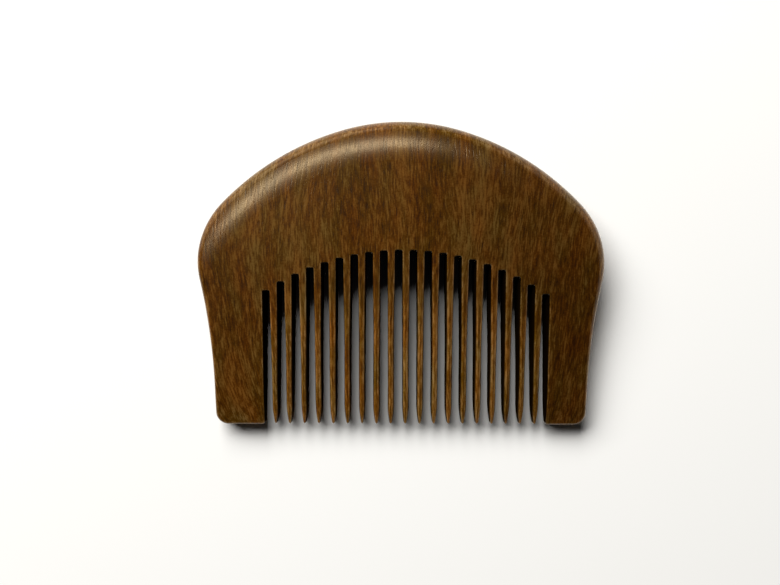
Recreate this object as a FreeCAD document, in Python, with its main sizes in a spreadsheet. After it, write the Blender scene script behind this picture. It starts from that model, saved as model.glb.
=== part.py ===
"""A wide tooth comb: one half-moon board of hardwood with twenty sawn slots.

The comb lies on its flat back. +X is its width, +Y runs from the tooth tips to the crown of the
spine and +Z is its thickness. The foot line that the end guards stand on is Y = 0 and the middle
of the outline is X = 0. Lengths are in mm and angles in degrees.

The board is made whole (outline, wedge, domed faces, rounded rim, slots, eased slot edges) and is
then divided at the roots of the teeth into the spine, two end guards and nineteen teeth. The
divided solids meet face to face.
"""
import FreeCAD, Part
import math
import os

import Sketcher

# The driving dimensions, written to the sheet below.
DIMENSIONS = {
    # the outline, as four tangent arcs on each side of the middle
    "overall_length": 75.0,        # foot line to crown
    "half_width": 50.0,            # at the widest, across the shoulders
    "foot_half_width": 46.2,       # at the foot line
    "crown_radius": 51.4,
    "crown_half_chord": 13.65,     # half the width of the crown arc
    "brow_radius": 67.3,           # flatter arc between crown and shoulder
    "shoulder_radius": 20.8,
    "waist_radius": 143.0,         # hollow arc between shoulder and foot
    "foot_corner_radius": 3.0,
    # the thickness
    "tooth_thickness": 5.6,        # where the relief of the tips begins
    "face_angle": 5.2,             # slope of the front face over the flat back
    "relief_length": 9.0,          # the tips thin down over this length
    "relief_radius": 37.0,
    # both faces are flat near the teeth and curve in towards the crown and the shoulders
    "dome_centre": 10.0,           # the domes' axis stands this far above the foot line
    "dome_flat_radius": 55.0,      # the faces are flat this far from the axis
    "dome_radius": 20.0,           # and curve with this radius beyond
    # the rounded rim, largest at the crown
    "rim_crown": 4.3,
    "rim_shoulder": 3.4,
    "rim_side": 1.8,
    "rim_foot": 1.0,
    "rim_side_end": 36.0,          # the waist ends at this height
    "rim_shoulder_end": 55.0,      # and the shoulder at this one
    # the slots and the teeth between them
    "pitch": 3.6,
    "kerf": 1.85,
    "field_offset": 1.1,           # the row of slots sits this far right of the middle
    "root_height": 43.4,           # highest slot end above the foot line
    "root_radius": 62.1,           # the slot ends follow this arc
    "root_centre": 0.5,            # and the arc's middle stands this far right of the outline's
    "taper_length": 5.0,           # each tooth narrows over this length
    "tip_radius": 0.5,
    "tip_clearance": 0.2,          # tooth tips stop this far short of the foot line
    "guard_corner_radius": 1.0,    # inner corner of an end guard's foot
    "slot_ease": 0.42,             # rounding of the edges along the slots
    "root_margin": 0.5,            # teeth and guards begin this far below the nearest slot end
    # the solids that the board is cut from and with
    "overrun": 2.0,                # they pass the board by this much
    "stock_thickness": 16.0,
}
SLOT_COUNT = 20
TOLERANCE = 1e-4
VOLUME_TOLERANCE = 1e-6              # as a share of the whole

doc = FreeCAD.newDocument("wide_tooth_comb")
sheet = doc.addObject("Spreadsheet::Sheet", "sheet")
for row, (alias, value) in enumerate(DIMENSIONS.items(), start=1):
    sheet.set("A%d" % row, alias)
    sheet.set("B%d" % row, str(value))
    sheet.setAlias("B%d" % row, alias)
doc.recompute()


def size(alias):
    """A driving dimension as the sheet holds it."""
    return float(getattr(sheet, alias))


def point(x, y):
    return FreeCAD.Vector(x, y, 0)


def polar(centre, radius, angle):
    """The point at an angle, in degrees, on a circle."""
    turn = math.radians(angle)
    return centre + point(radius * math.cos(turn), radius * math.sin(turn))


def bearing(start, end):
    """The direction from one point to another, in degrees."""
    return math.degrees(math.atan2(end.y - start.y, end.x - start.x))


def line(start, end):
    return Part.LineSegment(start, end)


def arc(centre, radius, first, last):
    """An arc that runs anticlockwise between two angles in degrees."""
    circle = Part.Circle(centre, FreeCAD.Vector(0, 0, 1), radius)
    return Part.ArcOfCircle(circle, math.radians(first), math.radians(last))


def new_sketch(body, plane_role, name):
    """An empty sketch on one of the body's own origin planes."""
    plane = next(f for f in body.Origin.OriginFeatures if f.Role == plane_role)
    sketch = body.newObject("Sketcher::SketchObject", name)
    sketch.AttachmentSupport = [(plane, "")]
    sketch.MapMode = "FlatFace"
    return sketch


def bind(sketch, kind, references, name, expression, value):
    """A named dimension of a sketch, driven by the sheet."""
    index = sketch.addConstraint(Sketcher.Constraint(kind, *references, value))
    sketch.renameConstraint(index, name)
    sketch.setExpression("Constraints." + name, expression)


def relate(sketch, kind, *references):
    """A geometric constraint of a sketch, with no size."""
    sketch.addConstraint(Sketcher.Constraint(kind, *references))


# In a sketch's constraints: the ends and centre of an element, the origin and the two axes.
START, END, CENTRE = 1, 2, 3
ORIGIN = (-1, 1)
X_AXIS = -1
Y_AXIS = -2


def make_outline():
    """The board's outline as a solid of the full thickness, its right half mirrored to the left."""
    length = size("overall_length")
    foot = size("foot_half_width")
    corner = size("foot_corner_radius")
    crown_r = size("crown_radius")
    brow_r = size("brow_radius")
    shoulder_r = size("shoulder_radius")
    waist_r = size("waist_radius")

    crown_c = point(0, length - crown_r)
    crown_end = math.degrees(math.acos(size("crown_half_chord") / crown_r))
    brow_c = polar(crown_c, crown_r - brow_r, crown_end)
    shoulder_x = size("half_width") - shoulder_r
    rise = math.sqrt((brow_r - shoulder_r) ** 2 - (shoulder_x - brow_c.x) ** 2)
    shoulder_c = point(shoulder_x, brow_c.y + rise)
    waist_x = foot + waist_r
    fall = math.sqrt((waist_r + shoulder_r) ** 2 - (waist_x - shoulder_x) ** 2)
    waist_c = point(waist_x, shoulder_c.y - fall)
    brow_end = bearing(brow_c, shoulder_c)
    waist_start = bearing(shoulder_c, waist_c)

    body = doc.addObject("PartDesign::Body", "outline")
    sketch = new_sketch(body, "XY_Plane", "half_outline")
    middle, crown, brow, shoulder, waist, side, foot_corner, foot_line = range(8)
    sketch.addGeometry([
        line(point(0, 0), point(0, length)),
        arc(crown_c, crown_r, crown_end, 90),
        arc(brow_c, brow_r, brow_end, crown_end),
        arc(shoulder_c, shoulder_r, waist_start, brow_end),
        arc(waist_c, waist_r, 180 + waist_start, 180),
        line(point(foot, waist_c.y), point(foot, corner)),
        arc(point(foot - corner, corner), corner, -90, 0),
        line(point(foot - corner, 0), point(0, 0)),
    ])
    relate(sketch, "Coincident", middle, START, *ORIGIN)
    relate(sketch, "Vertical", middle)
    relate(sketch, "Coincident", middle, END, crown, END)
    relate(sketch, "PointOnObject", crown, CENTRE, Y_AXIS)
    relate(sketch, "Tangent", crown, START, brow, END)
    relate(sketch, "Tangent", brow, START, shoulder, END)
    relate(sketch, "Tangent", shoulder, START, waist, START)
    relate(sketch, "Tangent", waist, END, side, START)
    relate(sketch, "Tangent", side, END, foot_corner, END)
    relate(sketch, "Tangent", foot_corner, START, foot_line, START)
    relate(sketch, "Coincident", foot_line, END, *ORIGIN)
    relate(sketch, "Vertical", side)
    relate(sketch, "Horizontal", foot_line)
    bind(sketch, "DistanceY", (*ORIGIN, middle, END), "length", "sheet.overall_length", length)
    bind(sketch, "Radius", (crown,), "crown_r", "sheet.crown_radius", crown_r)
    bind(sketch, "Radius", (brow,), "brow_r", "sheet.brow_radius", brow_r)
    bind(sketch, "Radius", (shoulder,), "shoulder_r", "sheet.shoulder_radius", shoulder_r)
    bind(sketch, "Radius", (waist,), "waist_r", "sheet.waist_radius", waist_r)
    bind(sketch, "Radius", (foot_corner,), "corner_r", "sheet.foot_corner_radius", corner)
    bind(sketch, "DistanceX", (*ORIGIN, crown, START), "chord", "sheet.crown_half_chord",
         size("crown_half_chord"))
    bind(sketch, "DistanceX", (*ORIGIN, shoulder, CENTRE), "shoulder_x",
         "sheet.half_width - sheet.shoulder_radius", shoulder_x)
    bind(sketch, "DistanceX", (*ORIGIN, side, END), "foot_x", "sheet.foot_half_width", foot)

    pad = body.newObject("PartDesign::Pad", "outline_pad")
    pad.Profile = sketch
    pad.setExpression("Length", "sheet.stock_thickness")
    doc.recompute()
    mirror = body.newObject("PartDesign::Mirrored", "outline_mirror")
    mirror.Originals = [pad]
    mirror.MirrorPlane = (sketch, ["V_Axis"])
    body.Tip = mirror
    body.setExpression("Placement.Base.z", "-sheet.overrun")
    return body


def make_wedge():
    """The board's side view as a solid wider than the board: flat back, sloping front, thin tips."""
    thickness = size("tooth_thickness")
    slope = size("face_angle")
    relief = size("relief_length")
    radius = size("relief_radius")
    overrun = size("overrun")
    far = size("overall_length") + overrun

    back_c = point(relief, radius)
    front_c = polar(point(relief, thickness), radius, slope - 90)
    back_turn = math.degrees(math.asin((relief + overrun) / radius))
    front_turn = math.degrees(math.asin((front_c.x + overrun) / radius))
    far_front = thickness + (far - relief) * math.tan(math.radians(slope))

    body = doc.addObject("PartDesign::Body", "wedge")
    sketch = new_sketch(body, "YZ_Plane", "side_view")
    back, back_relief, tip, front_relief, front, crown = range(6)
    back_tip = polar(back_c, radius, -90 - back_turn)
    front_tip = polar(front_c, radius, 90 + front_turn)
    sketch.addGeometry([
        line(point(far, 0), point(relief, 0)),
        arc(back_c, radius, -90 - back_turn, -90),
        line(back_tip, front_tip),
        arc(front_c, radius, 90 + slope, 90 + front_turn),
        line(point(relief, thickness), point(far, far_front)),
        line(point(far, far_front), point(far, 0)),
    ])
    relate(sketch, "Horizontal", back)
    relate(sketch, "Tangent", back, END, back_relief, END)
    relate(sketch, "Coincident", back_relief, START, tip, START)
    relate(sketch, "Vertical", tip)
    relate(sketch, "Coincident", tip, END, front_relief, END)
    relate(sketch, "Tangent", front_relief, START, front, START)
    relate(sketch, "Coincident", front, END, crown, START)
    relate(sketch, "Vertical", crown)
    relate(sketch, "Coincident", crown, END, back, START)
    relate(sketch, "Equal", back_relief, front_relief)
    relate(sketch, "PointOnObject", back, START, X_AXIS)
    bind(sketch, "Radius", (back_relief,), "relief_r", "sheet.relief_radius", radius)
    bind(sketch, "DistanceX", (*ORIGIN, back, END), "back_start", "sheet.relief_length", relief)
    bind(sketch, "DistanceX", (*ORIGIN, front, START), "front_start", "sheet.relief_length", relief)
    bind(sketch, "DistanceY", (*ORIGIN, front, START), "thickness", "sheet.tooth_thickness", thickness)
    bind(sketch, "DistanceX", (tip, START, *ORIGIN), "tip_x", "sheet.overrun", overrun)
    bind(sketch, "DistanceX", (*ORIGIN, back, START), "far_x",
         "sheet.overall_length + sheet.overrun", far)
    bind(sketch, "Angle", (front,), "slope", "sheet.face_angle * 1 deg", math.radians(slope))

    pad = body.newObject("PartDesign::Pad", "wedge_pad")
    pad.Profile = sketch
    pad.SideType = "Symmetric"
    pad.setExpression("Length", "2 * (sheet.half_width + sheet.overrun)")
    return body


def make_dome(name):
    """A flat-topped round solid whose edge curves down, wide enough to hold the whole outline."""
    flat = size("dome_flat_radius")
    radius = size("dome_radius")
    depth = size("stock_thickness")
    reach = size("overall_length") - size("dome_centre") + size("overrun")
    curve_c = point(flat, -radius)
    curve_end = math.degrees(math.acos((reach - flat) / radius))

    body = doc.addObject("PartDesign::Body", name)
    sketch = new_sketch(body, "XZ_Plane", name + "_profile")
    top, curve, rim, base, axis = range(5)
    rim_top = polar(curve_c, radius, curve_end)
    sketch.addGeometry([
        line(point(0, 0), point(flat, 0)),
        arc(curve_c, radius, curve_end, 90),
        line(rim_top, point(reach, -depth)),
        line(point(reach, -depth), point(0, -depth)),
        line(point(0, -depth), point(0, 0)),
    ])
    relate(sketch, "Coincident", top, START, *ORIGIN)
    relate(sketch, "Horizontal", top)
    relate(sketch, "Tangent", top, END, curve, END)
    relate(sketch, "Coincident", curve, START, rim, START)
    relate(sketch, "Vertical", rim)
    relate(sketch, "Coincident", rim, END, base, START)
    relate(sketch, "Horizontal", base)
    relate(sketch, "Coincident", base, END, axis, START)
    relate(sketch, "Coincident", axis, END, *ORIGIN)
    relate(sketch, "Vertical", axis)
    bind(sketch, "DistanceX", (*ORIGIN, top, END), "flat", "sheet.dome_flat_radius", flat)
    bind(sketch, "Radius", (curve,), "curve_r", "sheet.dome_radius", radius)
    bind(sketch, "DistanceX", (*ORIGIN, rim, START), "reach",
         "sheet.overall_length - sheet.dome_centre + sheet.overrun", reach)
    bind(sketch, "DistanceY", (rim, END, *ORIGIN), "depth", "sheet.stock_thickness", depth)

    turned = body.newObject("PartDesign::Revolution", name + "_turned")
    turned.Profile = sketch
    turned.ReferenceAxis = (sketch, ["V_Axis"])
    turned.Angle = 360
    body.setExpression("Placement.Base.y", "sheet.dome_centre")
    return body


def make_domes():
    """The two round solids whose tops are the board's front and, upside down, its back."""
    across = FreeCAD.Vector(1, 0, 0)
    front = make_dome("front_dome")
    front.Placement.Rotation = FreeCAD.Rotation(across, size("face_angle"))
    front.setExpression("Placement.Rotation.Angle", "sheet.face_angle * 1 deg")
    front.setExpression("Placement.Base.z", "sheet.tooth_thickness"
                        " + (sheet.dome_centre - sheet.relief_length) * tan(sheet.face_angle * 1 deg)")
    back = make_dome("back_dome")
    back.Placement.Rotation = FreeCAD.Rotation(across, 180)
    return [front, back]


def rim_radius(spot):
    """How far the rim is rounded at a point of the outline: most at the crown, least at the foot."""
    steps = [
        (0.0, size("rim_foot")),
        (size("relief_length"), size("rim_foot")),
        (size("rim_side_end"), size("rim_side")),
        (size("rim_shoulder_end"), size("rim_shoulder")),
        (size("overall_length"), size("rim_crown")),
    ]
    for (low, low_radius), (high, high_radius) in zip(steps, steps[1:]):
        if spot.y <= high:
            share = max(0.0, spot.y - low) / (high - low)
            return low_radius + share * (high_radius - low_radius)
    return steps[-1][1]


def is_wall(face):
    """True for a face of the outline, which stands square to the back of the board."""
    u_min, u_max, v_min, v_max = face.ParameterRange
    return abs(face.normalAt((u_min + u_max) / 2, (v_min + v_max) / 2).z) < TOLERANCE


def find_rim(shape):
    """The number of each edge between the outline's walls and the front or the back of the board."""
    walls = [face for face in shape.Faces if is_wall(face)]
    rim = []
    for index, edge in enumerate(shape.Edges, start=1):
        beside = [wall for wall in walls if any(edge.isSame(other) for other in wall.Edges)]
        if len(beside) == 1:
            rim.append(index)
    return rim


def make_board():
    """The board before the slots are sawn: the outline and the wedge in common, its rim rounded."""
    solids = [make_outline(), make_wedge(), *make_domes()]
    blank = doc.addObject("Part::MultiCommon", "blank")
    blank.Shapes = solids
    doc.recompute()

    # Each face's loop of edges is rounded in one pass, in the direction of its first edge.
    middle = point(0, size("overall_length") / 2)
    passes = {}
    edges = []
    for index in find_rim(blank.Shape):
        edge = blank.Shape.Edges[index - 1]
        ends = [edge.valueAt(edge.FirstParameter), edge.valueAt(edge.LastParameter)]
        anticlockwise = (ends[0] - middle).cross(ends[1] - middle).z > 0
        on_front = edge.CenterOfMass.z > size("tooth_thickness") / 2
        if passes.setdefault(on_front, anticlockwise) != anticlockwise:
            ends.reverse()
        edges.append((index, rim_radius(ends[0]), rim_radius(ends[1])))
    board = doc.addObject("Part::Fillet", "board")
    board.Base = blank
    board.Edges = edges
    return board


def slot_centre(number):
    """Where a slot's middle is along X, as an expression; slots are numbered from the left."""
    return "sheet.field_offset + (%g) * sheet.pitch" % (number - (SLOT_COUNT + 1) / 2)


def slot_end(number):
    """How high a slot reaches above the foot line, as an expression."""
    across = "(%s - sheet.root_centre)" % slot_centre(number)
    return "sheet.root_height - sheet.root_radius + sqrt(sheet.root_radius^2 - %s^2)" % across


def value_of(expression):
    """What an expression over the sheet comes to."""
    return float(sheet.evalExpression(expression))


def draw_flank(sketch, side, beside_tooth, wall_top):
    """One side of a slot, from its wall down past the foot line; side is 1 on the right.

    Beside a tooth the slot widens along the tooth's flank and round half of its tip, and beside an
    end guard round the guard's corner. Returns the wall's and the last line's numbers.
    """
    half_kerf = size("kerf") / 2
    half_pitch = size("pitch") / 2
    clearance = size("tip_clearance")
    overrun = size("overrun")
    # an arc on the right runs down from its start, and its mirror image on the left from its end
    top, bottom = (START, END) if side > 0 else (END, START)

    def mirrored(centre, radius, first, last):
        if side > 0:
            return arc(centre, radius, first, last)
        return arc(point(-centre.x, centre.y), radius, 180 - last, 180 - first)

    def from_middle(spot):
        return (*ORIGIN, *spot) if side > 0 else (*spot, *ORIGIN)

    if beside_tooth:
        tip = size("tip_radius")
        taper = size("taper_length")
        half_tooth = half_pitch - half_kerf
        reach = taper ** 2 + half_tooth ** 2 - 2 * taper * tip
        flank_r = reach / (2 * (half_tooth - tip))
        wall_end = clearance + taper
        outer = half_pitch
        flank_c = point(half_kerf + flank_r, wall_end)
        tip_c = point(half_pitch, clearance + tip)
        turn = bearing(flank_c, tip_c) % 360
        arcs = [mirrored(flank_c, flank_r, 180, turn), mirrored(tip_c, tip, turn, 270)]
    else:
        corner = size("guard_corner_radius")
        wall_end = corner - clearance
        outer = half_kerf + corner
        arcs = [mirrored(point(outer, wall_end), corner, 180, 270)]

    floor = arcs[-1].Center.y - arcs[-1].Radius
    wall = sketch.addGeometry(line(point(side * half_kerf, wall_top), point(side * half_kerf, wall_end)))
    curves = [sketch.addGeometry(curve) for curve in arcs]
    drop = sketch.addGeometry(line(point(side * outer, floor), point(side * outer, -overrun)))

    name = "right" if side > 0 else "left"
    relate(sketch, "Vertical", wall)
    relate(sketch, "Tangent", wall, END, curves[0], top)
    relate(sketch, "Coincident", curves[-1], bottom, drop, START)
    relate(sketch, "Vertical", drop)
    bind(sketch, "DistanceX", from_middle((wall, END)), name + "_wall", "sheet.kerf / 2", half_kerf)
    if beside_tooth:
        relate(sketch, "Tangent", curves[0], bottom, curves[1], top)
        bind(sketch, "DistanceY", (*ORIGIN, wall, END), name + "_wall_end",
             "sheet.tip_clearance + sheet.taper_length", wall_end)
        bind(sketch, "Radius", (curves[1],), name + "_tip_r", "sheet.tip_radius", size("tip_radius"))
        bind(sketch, "DistanceX", from_middle((curves[1], CENTRE)), name + "_tip_x",
             "sheet.pitch / 2", half_pitch)
        bind(sketch, "DistanceX", from_middle((curves[1], bottom)), name + "_tip_end",
             "sheet.pitch / 2", half_pitch)
        bind(sketch, "DistanceY", (*ORIGIN, curves[1], bottom), name + "_tip_y",
             "sheet.tip_clearance", clearance)
    else:
        bind(sketch, "DistanceY", (*ORIGIN, wall, END), name + "_wall_end",
             "sheet.guard_corner_radius - sheet.tip_clearance", wall_end)
        bind(sketch, "Radius", (curves[0],), name + "_corner_r", "sheet.guard_corner_radius", corner)
        bind(sketch, "DistanceX", from_middle((curves[0], bottom)), name + "_corner_end",
             "sheet.kerf / 2 + sheet.guard_corner_radius", outer)
    return wall, drop


def make_slot(number):
    """The solid that one slot takes out of the board."""
    end = value_of(slot_end(number))
    half_kerf = size("kerf") / 2
    body = doc.addObject("PartDesign::Body", "slot_%02d" % number)
    sketch = new_sketch(body, "XY_Plane", "slot_outline_%02d" % number)
    left_wall, left_drop = draw_flank(sketch, -1, number > 1, end)
    right_wall, right_drop = draw_flank(sketch, 1, number < SLOT_COUNT, end)
    roof = sketch.addGeometry(line(point(-half_kerf, end), point(half_kerf, end)))
    left_end = sketch.Geometry[left_drop].EndPoint
    right_end = sketch.Geometry[right_drop].EndPoint
    floor = sketch.addGeometry(line(left_end, right_end))
    relate(sketch, "Horizontal", roof)
    relate(sketch, "Coincident", roof, START, left_wall, START)
    relate(sketch, "Coincident", roof, END, right_wall, START)
    relate(sketch, "Horizontal", floor)
    relate(sketch, "Coincident", floor, START, left_drop, END)
    relate(sketch, "Coincident", floor, END, right_drop, END)
    bind(sketch, "DistanceY", (*ORIGIN, roof, START), "end", slot_end(number), end)
    bind(sketch, "DistanceY", (floor, START, *ORIGIN), "floor", "sheet.overrun", size("overrun"))

    pad = body.newObject("PartDesign::Pad", "slot_pad_%02d" % number)
    pad.Profile = sketch
    pad.setExpression("Length", "sheet.stock_thickness")
    body.setExpression("Placement.Base.x", slot_centre(number))
    body.setExpression("Placement.Base.z", "-sheet.overrun")
    return body


def is_slot_mouth(edge):
    """True for a straight edge that a slot's wall or end makes with the front or the back."""
    box = edge.BoundBox
    reach = (size("pitch") * (SLOT_COUNT - 1) + size("kerf")) / 2 + TOLERANCE
    in_field = abs(edge.CenterOfMass.x - size("field_offset")) < reach
    along_wall = box.XLength < TOLERANCE and box.YLength > size("relief_length")
    across_end = box.YLength < TOLERANCE and box.YMin > size("relief_length") + TOLERANCE
    return in_field and (along_wall or across_end)


def make_comb():
    """The whole comb in one piece: the board with its slots sawn and their edges eased."""
    board = make_board()
    slots = [make_slot(number) for number in range(1, SLOT_COUNT + 1)]
    doc.recompute()
    all_slots = doc.addObject("Part::MultiFuse", "all_slots")
    all_slots.Shapes = slots
    sawn = doc.addObject("Part::Cut", "sawn_board")
    sawn.Base = board
    sawn.Tool = all_slots
    doc.recompute()

    # each rounding runs on along the smooth edges that follow, round the tips of the teeth
    ease = size("slot_ease")
    mouths = [index for index, edge in enumerate(sawn.Shape.Edges, start=1) if is_slot_mouth(edge)]
    comb = doc.addObject("Part::Fillet", "whole_comb")
    comb.Base = sawn
    comb.Edges = [(index, ease, ease) for index in mouths]
    return comb


def make_block(name, left, width, top):
    """A box from past the foot line up to a root, as deep as the board; its sizes are expressions."""
    block = doc.addObject("Part::Box", name + "_block")
    block.setExpression("Length", width)
    block.setExpression("Width", "sheet.overrun + " + top)
    block.setExpression("Height", "sheet.stock_thickness")
    block.setExpression("Placement.Base.x", left)
    block.setExpression("Placement.Base.y", "-sheet.overrun")
    block.setExpression("Placement.Base.z", "-sheet.overrun")
    return block


def root(number, other):
    """Where what stands between two slots ends: a little below the lower slot end."""
    return "min(%s; %s) - sheet.root_margin" % (slot_end(number), slot_end(other))


def make_blocks():
    """The name of every sub-part below the roots, and the block it is taken out with."""
    side = "sheet.half_width + sheet.overrun"
    first = slot_centre(1)
    last = slot_centre(SLOT_COUNT)
    blocks = {
        "left_end_guard": make_block(
            "left_end_guard", "-(%s)" % side, "%s + %s" % (side, first), root(1, 1)),
        "right_end_guard": make_block(
            "right_end_guard", last, "%s - (%s)" % (side, last), root(SLOT_COUNT, SLOT_COUNT)),
    }
    for number in range(1, SLOT_COUNT):
        name = "tooth_%02d" % number
        blocks[name] = make_block(name, slot_centre(number), "sheet.pitch", root(number, number + 1))
    return blocks


def divide(comb, blocks):
    """The comb's sub-parts: what lies in each block, and the spine, which is all the rest."""
    parts = []
    for name, block in blocks.items():
        part = doc.addObject("Part::Common", name)
        part.Base = comb
        part.Tool = block
        parts.append(part)
    all_blocks = doc.addObject("Part::MultiFuse", "all_blocks")
    all_blocks.Shapes = list(blocks.values())
    spine = doc.addObject("Part::Cut", "spine")
    spine.Base = comb
    spine.Tool = all_blocks
    parts.append(spine)
    for part in parts:
        # the origin is moved from the foot line to below the middle of the comb
        part.setExpression("Placement.Base.y", "-sheet.overall_length / 2")
    return parts


def check(comb, parts):
    """Stops unless every object was made and the sub-parts are sound and add up to the comb."""
    for thing in doc.Objects:
        if "Invalid" in thing.State or "Error" in thing.State:
            raise RuntimeError("%s was not made: %s" % (thing.Name, thing.State))
    for part in parts:
        if part.Shape.isNull() or not part.Shape.isValid() or len(part.Shape.Solids) != 1:
            raise RuntimeError("%s is not one sound solid" % part.Label)
    total = sum(part.Shape.Volume for part in parts)
    if abs(total - comb.Shape.Volume) > VOLUME_TOLERANCE * comb.Shape.Volume:
        raise RuntimeError("the sub-parts hold %g and the comb %g" % (total, comb.Shape.Volume))


comb = make_comb()
doc.recompute()
parts = divide(comb, make_blocks())
doc.recompute()
check(comb, parts)
os.makedirs("parts", exist_ok=True)
for part in parts:
    part.Shape.exportStep("parts/%s.step" % part.Label)
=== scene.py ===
"""A half-moon wooden comb lying on a pale floor, seen from straight above.

The comb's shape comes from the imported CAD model. Lengths are in metres.
"""
import math
import random

import bpy
import numpy as np
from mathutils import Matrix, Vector


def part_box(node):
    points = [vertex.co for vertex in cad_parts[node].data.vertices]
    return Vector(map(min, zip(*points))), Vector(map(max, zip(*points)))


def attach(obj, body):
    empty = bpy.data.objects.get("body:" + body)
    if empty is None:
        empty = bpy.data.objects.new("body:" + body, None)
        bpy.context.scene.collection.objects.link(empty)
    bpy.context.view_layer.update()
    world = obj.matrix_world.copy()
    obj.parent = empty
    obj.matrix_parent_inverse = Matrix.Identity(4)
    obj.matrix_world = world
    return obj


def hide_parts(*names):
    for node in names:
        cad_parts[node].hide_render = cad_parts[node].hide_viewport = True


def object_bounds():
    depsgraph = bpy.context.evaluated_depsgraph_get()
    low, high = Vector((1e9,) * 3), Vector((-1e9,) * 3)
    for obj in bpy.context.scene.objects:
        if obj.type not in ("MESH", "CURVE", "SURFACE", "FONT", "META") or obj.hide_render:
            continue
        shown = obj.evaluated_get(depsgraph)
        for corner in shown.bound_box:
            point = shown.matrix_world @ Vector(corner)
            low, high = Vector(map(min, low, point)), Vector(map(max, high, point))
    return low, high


MM = 0.001
FRONT_SLOPE = 0.091           # fall of the slanted front towards the tips, per length
ROW_MIDDLE = 1.1 * MM         # X of the middle of the row of slots
ROW_REACH = 35 * MM           # the row reaches this far to each side of its middle

CORNER_STEPS = 8              # segments round each corner of a tooth's section
TOOTH_RINGS = 48              # sections along a tooth
END_INSET = 0.02 * MM         # the end sections are measured this far inside the end faces
ROOT_CORNER = 0.42 * MM       # radius of a tooth's corners at its root
CORNER_GROWTH = (0.36 * MM, 0.80 * MM)    # growth of that radius by wear, across and through the comb
WEAR_LENGTH = 22 * MM         # the wear is full this far from the root
MOST_PARED = 0.11 * MM        # hand filing takes up to this much off a side of a worn tooth
RIPPLE = 0.03 * MM            # and its unevenness takes up to twice this much more
RIPPLE_LENGTH = 5 * MM        # length along the tooth of each radian of that unevenness

FLOOR_SIDE = 6.0
FLOOR_GAP = 0.1 * MM          # keeps the floor and the flat back from lying in one plane
WARM_WHITE = (1.0, 0.97, 0.93)

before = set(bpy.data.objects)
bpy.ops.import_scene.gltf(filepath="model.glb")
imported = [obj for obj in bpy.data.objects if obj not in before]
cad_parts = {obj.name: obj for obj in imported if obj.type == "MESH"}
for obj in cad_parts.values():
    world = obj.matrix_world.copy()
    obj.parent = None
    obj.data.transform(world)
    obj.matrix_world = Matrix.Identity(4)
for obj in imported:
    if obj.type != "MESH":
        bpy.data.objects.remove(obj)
cad_low, cad_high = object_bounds()
LOW, HIGH = Vector(cad_low), Vector(cad_high)
MIDDLE = (LOW + HIGH) / 2


class Nodes:
    """Shorthand for building a material's node tree."""

    def __init__(self, name):
        self.material = bpy.data.materials.new(name)
        self.material.use_nodes = True
        self.tree = self.material.node_tree
        self.tree.nodes.clear()

    def feed(self, socket, value):
        if isinstance(value, bpy.types.NodeSocket):
            self.tree.links.new(value, socket)
        else:
            socket.default_value = value

    def add(self, kind, inputs=None, **settings):
        node = self.tree.nodes.new(kind)
        for key, value in settings.items():
            setattr(node, key, value)
        for key, value in (inputs or {}).items():
            self.feed(node.inputs[key], value)
        return node

    def maths(self, operation, *values):
        node = self.add("ShaderNodeMath", operation=operation)
        for socket, value in zip(node.inputs, values):
            self.feed(socket, value)
        return node.outputs[0]

    def split(self, vector):
        return self.add("ShaderNodeSeparateXYZ", {"Vector": vector}).outputs

    def join(self, x, y, z):
        return self.add("ShaderNodeCombineXYZ", {"X": x, "Y": y, "Z": z}).outputs[0]

    def remap(self, value, low, high, to_low=0.0, to_high=1.0):
        """The value taken from one range to another, held at the ends."""
        inputs = {"Value": value, "From Min": low, "From Max": high,
                  "To Min": to_low, "To Max": to_high}
        return self.add("ShaderNodeMapRange", inputs).outputs["Result"]

    def noise(self, place, scale, detail=2.0):
        inputs = {"Vector": place, "Scale": scale, "Detail": detail}
        return self.add("ShaderNodeTexNoise", inputs).outputs["Fac"]

    def mix(self, share, first, second, blend="MIX"):
        node = self.add("ShaderNodeMix", data_type="RGBA", blend_type=blend)
        factor, a, b = node.inputs[0], node.inputs[6], node.inputs[7]
        self.feed(factor, share)
        self.feed(a, first)
        self.feed(b, second)
        return node.outputs[2]

    def ramp(self, value, stops):
        node = self.add("ShaderNodeValToRGB", {"Fac": value})
        elements = node.color_ramp.elements
        while len(elements) > 1:
            elements.remove(elements[-1])
        for index, (position, colour) in enumerate(stops):
            element = elements[0] if index == 0 else elements.new(position)
            element.position = position
            element.color = (*colour, 1.0)
        return node.outputs["Color"]


def grain_directions(n, x, y, z):
    """How far a place lies across the fibres, and in which layer of the wood."""
    # the fibres spread like a fan, swing over on the left and wander a little
    fan = n.maths("DIVIDE", x, n.maths("MULTIPLY_ADD", y, 2.4, 1.0))
    rise = n.maths("ADD", y, 8 * MM)
    swing = n.maths("MULTIPLY", n.maths("MULTIPLY", rise, rise), n.remap(x, -30 * MM, -5 * MM, 3.3, 0.0))
    wander = n.noise(n.join(x, n.maths("MULTIPLY", y, 0.6), z), 45.0)
    across = n.maths("MULTIPLY_ADD", wander, 5 * MM, n.maths("SUBTRACT", fan, swing))
    # the layers lie parallel to the slanted front, so they show as contours round the worn rim
    layer = n.maths("MULTIPLY_ADD", y, FRONT_SLOPE, z)
    return across, layer


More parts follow.
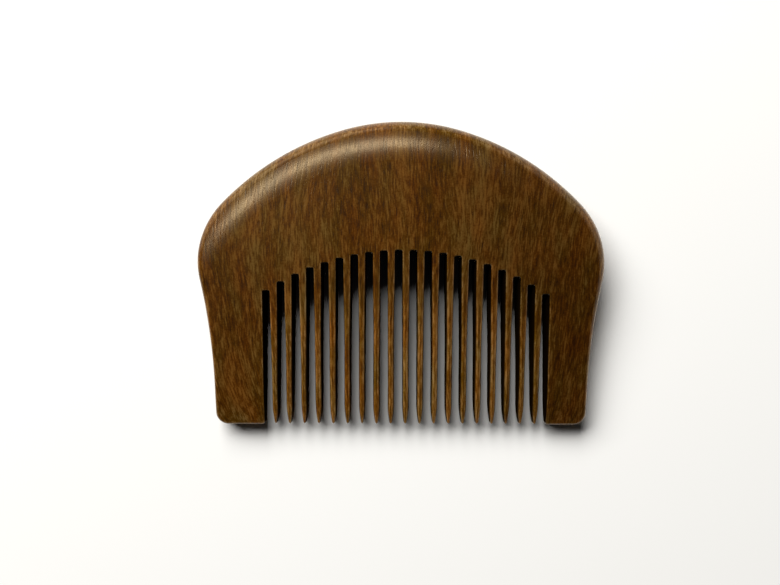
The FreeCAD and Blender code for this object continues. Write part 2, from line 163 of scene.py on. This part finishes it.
def grain(n, place, across, layer):
    """The fibres, the pores, and the tone of the wood: about 0.1 where it is darkest and 0.9 where palest."""
    x, y, _ = n.split(place)

    def along_grain(stretch):
        return n.join(across, n.maths("MULTIPLY", y, stretch), n.maths("MULTIPLY", layer, 0.6))

    fibre = n.noise(along_grain(0.08), 2700.0)
    streak = n.noise(along_grain(0.06), 800.0)
    band = n.noise(along_grain(0.22), 110.0)
    fleck = n.noise(place, 2600.0, detail=1.0)
    pore = n.remap(n.noise(along_grain(0.10), 3300.0, detail=1.0), 0.60, 0.72)
    # darker and paler veins run through the right half only
    vein = n.remap(n.noise(along_grain(0.09), 300.0, detail=1.0), 0.35, 0.65, -1.0, 1.0)
    vein = n.maths("MULTIPLY", vein, n.remap(x, 4 * MM, 26 * MM))

    tone = -1.07
    for part, weight in (
        (fibre, 1.6), (streak, 0.55), (band, 0.6), (fleck, 0.5), (pore, -0.22), (vein, 0.10),
    ):
        tone = n.maths("MULTIPLY_ADD", part, weight, tone)
    return fibre, pore, tone


def wood_material():
    n = Nodes("carved_hardwood")
    coordinates = n.add("ShaderNodeTexCoord").outputs
    place = coordinates["Object"]
    x, y, z = n.split(place)
    lean_x, _, lean_z = n.split(coordinates["Normal"])
    from_row = n.maths("ABSOLUTE", n.maths("SUBTRACT", x, ROW_MIDDLE))
    across, layer = grain_directions(n, x, y, z)
    fibre, pore, tone = grain(n, place, across, layer)
    colour = n.ramp(tone, [
        (0.10, (0.034, 0.0092, 0.0003)),
        (0.50, (0.088, 0.0300, 0.0006)),
        (0.90, (0.182, 0.0850, 0.0150)),
    ])

    # heartwood turns from reddish to olive in broad drifts
    drift = n.noise(n.join(across, n.maths("MULTIPLY", y, 0.25), layer), 260.0, detail=3.0)
    hue = n.ramp(drift, [(0.36, (1.10, 0.93, 0.75)), (0.64, (0.93, 1.05, 1.20))])
    colour = n.mix(1.0, colour, hue, blend="MULTIPLY")

    # painted shade: the board is darker to the right and downwards, away from the lamps at its upper left;
    # and the teeth are paler towards their tips
    rightwards = n.remap(x, 0.0, 28 * MM, 0.86, 0.60)
    downwards = n.remap(y, 10 * MM, -5 * MM, 1.0, 0.86)
    in_row = n.remap(from_row, ROW_REACH, ROW_REACH - 1 * MM)
    worn = n.maths("MULTIPLY", in_row, n.remap(y, -2 * MM, -14 * MM))
    shade = n.maths("MULTIPLY", rightwards, downwards)
    shade = n.maths("MULTIPLY", shade, n.maths("MULTIPLY_ADD", worn, 0.36, 1.0))
    colour = n.mix(1.0, colour, n.join(shade, shade, shade), blend="MULTIPLY")

    # the rounded rim is painted paler and greyer than the flat: partly wear, partly a painted reflection of
    # the pale floor on the steep edge
    rim = n.remap(lean_z, 0.985, 0.88)
    colour = n.mix(n.maths("MULTIPLY", rim, 0.64), colour, (2.3, 2.8, 5.5, 1.0), blend="MULTIPLY")

    # painted shade: the walls between the teeth are painted near black, and their gloss and sheen are taken
    # off, to stand in for the shadow deep in the slots
    steep = n.remap(n.maths("ABSOLUTE", lean_x), 0.82, 0.97)
    painted_slot_shade = n.maths("MULTIPLY", steep, n.remap(from_row, ROW_REACH + 3 * MM, ROW_REACH + 2 * MM))
    colour = n.mix(n.maths("MULTIPLY", painted_slot_shade, 0.95), colour, (0.006, 0.003, 0.001, 1.0))

    bump = n.add("ShaderNodeBump", {
        "Height": n.maths("SUBTRACT", fibre, pore), "Strength": 0.24, "Distance": 0.05 * MM})
    shader = n.add("ShaderNodeBsdfPrincipled", {
        "Base Color": colour,
        "Roughness": n.remap(fibre, 0.3, 0.7, 0.29, 0.22),
        # the painted slot shade also takes the gloss and sheen off the walls between the teeth
        "Specular IOR Level": n.remap(painted_slot_shade, 0.0, 1.0, 0.36, 0.0),
        "Specular Tint": (1.0, 0.80, 0.50, 1.0),
        "Sheen Weight": n.remap(painted_slot_shade, 0.0, 1.0, 0.50, 0.0),
        "Sheen Roughness": 0.30,
        "Sheen Tint": (1.0, 0.85, 0.62, 1.0),
        "Normal": bump.outputs[0]})
    n.add("ShaderNodeOutputMaterial", {"Surface": shader.outputs[0]})
    return n.material


def floor_material():
    n = Nodes("pale_floor")
    shader = n.add("ShaderNodeBsdfPrincipled", {
        "Base Color": (0.93, 0.93, 0.92, 1.0), "Roughness": 0.8})
    n.add("ShaderNodeOutputMaterial", {"Surface": shader.outputs[0]})
    return n.material


def section(mesh, y):
    """The lowest and highest X and Z of a mesh where the plane at y cuts it."""
    spots = np.empty(len(mesh.vertices) * 3)
    mesh.vertices.foreach_get("co", spots)
    ends = np.empty(len(mesh.edges) * 2, dtype=np.int32)
    mesh.edges.foreach_get("vertices", ends)
    first, last = spots.reshape(-1, 3)[ends.reshape(-1, 2)].transpose(1, 0, 2)
    crosses = (first[:, 1] - y) * (last[:, 1] - y) < 0
    first, last = first[crosses], last[crosses]
    share = ((y - first[:, 1]) / (last[:, 1] - first[:, 1]))[:, None]
    cuts = first + share * (last - first)
    return cuts.min(0)[[0, 2]], cuts.max(0)[[0, 2]]


def rounded_ring(low, high, round_x, round_z, y):
    """The points of a rounded rectangle in the plane at y; its corners are quarter ellipses."""
    ring = []
    for corner in range(4):
        side_x, side_z = ((1, 1), (-1, 1), (-1, -1), (1, -1))[corner]
        centre_x = high[0] - round_x if side_x > 0 else low[0] + round_x
        centre_z = high[1] - round_z if side_z > 0 else low[1] + round_z
        for step in range(CORNER_STEPS + 1):
            turn = math.radians(90 * (corner + step / CORNER_STEPS))
            ring.append((centre_x + round_x * math.cos(turn), y, centre_z + round_z * math.sin(turn)))
    return ring


def tooth_points(mesh, bottom, top, seed):
    """Rings of points from a tooth's root to its tip, cut down from the sections of its CAD solid."""
    chance = random.Random(seed)
    pared = [chance.uniform(0.0, MOST_PARED) for side in range(2)]
    waves = [chance.uniform(0, 2 * math.pi) for side in range(2)]
    points = []
    for step in range(TOOTH_RINGS):
        # the rings stand closer together towards the tip
        share = 1 - (1 - step / (TOOTH_RINGS - 1)) ** 2
        y = top.y + (bottom.y - top.y) * share
        inside = min(max(y, bottom.y + END_INSET), top.y - END_INSET)
        low, high = section(mesh, inside)
        worn = min(1.0, (top.y - y) / WEAR_LENGTH)
        worn = worn * worn * (3 - 2 * worn)
        # a side never loses more than a fifth of the tooth's width
        for side, ends in enumerate((low, high)):
            inward = (1, -1)[side]
            ripple = RIPPLE * (1 + math.sin(y / RIPPLE_LENGTH + waves[side]))
            ends[0] += inward * worn * min(pared[side] + ripple, 0.2 * (high[0] - low[0]))
        # the rounded corners never quite meet
        half = (high - low) / 2
        round_x, round_z = (
            min(ROOT_CORNER + growth * worn, 0.95 * most) for growth, most in zip(CORNER_GROWTH, half))
        points += rounded_ring(low, high, round_x, round_z, y)
    return points


def shape_tooth(name, seed):
    """A tooth rubbed round by hand: crisp at its root, and rounder and less even towards its tip."""
    bottom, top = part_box(name)
    points = tooth_points(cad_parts[name].data, bottom, top, seed)
    count = 4 * (CORNER_STEPS + 1)
    tip = len(points) - count
    faces = [tuple(range(count - 1, -1, -1)), tuple(range(tip, len(points)))]
    for start in range(0, tip, count):
        for spot in range(count):
            after = (spot + 1) % count
            faces.append((start + spot, start + after, start + count + after, start + count + spot))
    shaped = bpy.data.meshes.new(name + "_shaped")
    shaped.from_pydata(points, [], faces)
    shaped.polygons.foreach_set("use_smooth", [len(face) == 4 for face in faces])
    for edge in shaped.edges:
        edge.use_edge_sharp = max(edge.vertices) < count or min(edge.vertices) >= tip
    shaped.materials.append(wood)
    tooth = bpy.data.objects.new(name + "_shaped", shaped)
    bpy.context.scene.collection.objects.link(tooth)
    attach(tooth, "root")
    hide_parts(name)


def make_floor():
    mesh = bpy.data.meshes.new("floor")
    half = FLOOR_SIDE / 2
    corners = [(-half, -half, 0), (half, -half, 0), (half, half, 0), (-half, half, 0)]
    mesh.from_pydata(corners, [], [(0, 1, 2, 3)])
    mesh.materials.append(floor_material())
    floor = bpy.data.objects.new("floor", mesh)
    bpy.context.scene.collection.objects.link(floor)
    floor.location.z = LOW.z - FLOOR_GAP
    return floor


def area_light(name, bearing, height, distance, width, depth, power, colour=(1, 1, 1)):
    """A soft box facing the comb, with its power in watts.

    Its bearing is anticlockwise from +X and its height is above the floor, both in degrees.
    """
    data = bpy.data.lights.new(name, "AREA")
    data.shape = "RECTANGLE"
    data.size = width
    data.size_y = depth
    data.energy = power
    data.color = colour
    lamp = bpy.data.objects.new(name, data)
    bpy.context.scene.collection.objects.link(lamp)
    turn, rise = math.radians(bearing), math.radians(height)
    away = Vector((math.cos(turn) * math.cos(rise), math.sin(turn) * math.cos(rise), math.sin(rise)))
    lamp.location = MIDDLE + away * distance
    lamp.rotation_euler = away.to_track_quat("Z", "Y").to_euler()
    return lamp


def aim_at(lamp, target, state):
    """The lamp lights only the target where state is INCLUDE, and all but the target where it is EXCLUDE."""
    receivers = bpy.data.collections.new(lamp.name + "_receivers")
    receivers.objects.link(target)
    receivers.collection_objects[0].light_linking.link_state = state
    lamp.light_linking.receiver_collection = receivers


def make_lights(floor):
    world = bpy.data.worlds.new("studio")
    world.use_nodes = True
    background = world.node_tree.nodes["Background"].inputs
    background["Color"].default_value = (1.0, 1.0, 1.0, 1.0)
    background["Strength"].default_value = 0.01
    bpy.context.scene.world = world
    # two windows draw the highlights inside the rim, and two low lamps light the rim itself
    for lamp in (
        area_light("window", 103, 62, 0.9, 0.34, 0.16, 3.9, WARM_WHITE),
        area_light("second_window", 147, 60, 0.9, 0.30, 0.16, 3.2, WARM_WHITE),
        area_light("low_window", 130, 22, 1.6, 2.4, 0.7, 15.0, WARM_WHITE),
        area_light("pale_wall", 20, 19, 1.0, 1.6, 0.5, 2.6),
    ):
        aim_at(lamp, floor, "EXCLUDE")
    # one soft lamp lights the floor alone, so that the slots stay dark
    aim_at(area_light("floor_lamp", 121, 34, 1.5, 1.6, 0.8, 54.0, (1.0, 0.985, 0.955)), floor, "INCLUDE")


def make_camera():
    """A camera close above the comb and a little off its middle, so that the outer slots show a wall each."""
    data = bpy.data.cameras.new("camera")
    data.sensor_width = 36.0
    data.lens = 28.65
    data.clip_start = 0.001
    camera = bpy.data.objects.new("camera", data)
    bpy.context.scene.collection.objects.link(camera)
    camera.location = (-2.8 * MM, -4.45 * MM, 159 * MM)
    camera.rotation_euler = (0, 0, math.radians(0.15))
    bpy.context.scene.camera = camera


wood = wood_material()
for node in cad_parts.values():
    node.data.materials.clear()
    node.data.materials.append(wood)
for number, name in enumerate(sorted(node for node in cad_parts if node.startswith("tooth"))):
    shape_tooth(name, number)
make_lights(make_floor())
make_camera()
bpy.context.scene.view_settings.view_transform = "Standard"
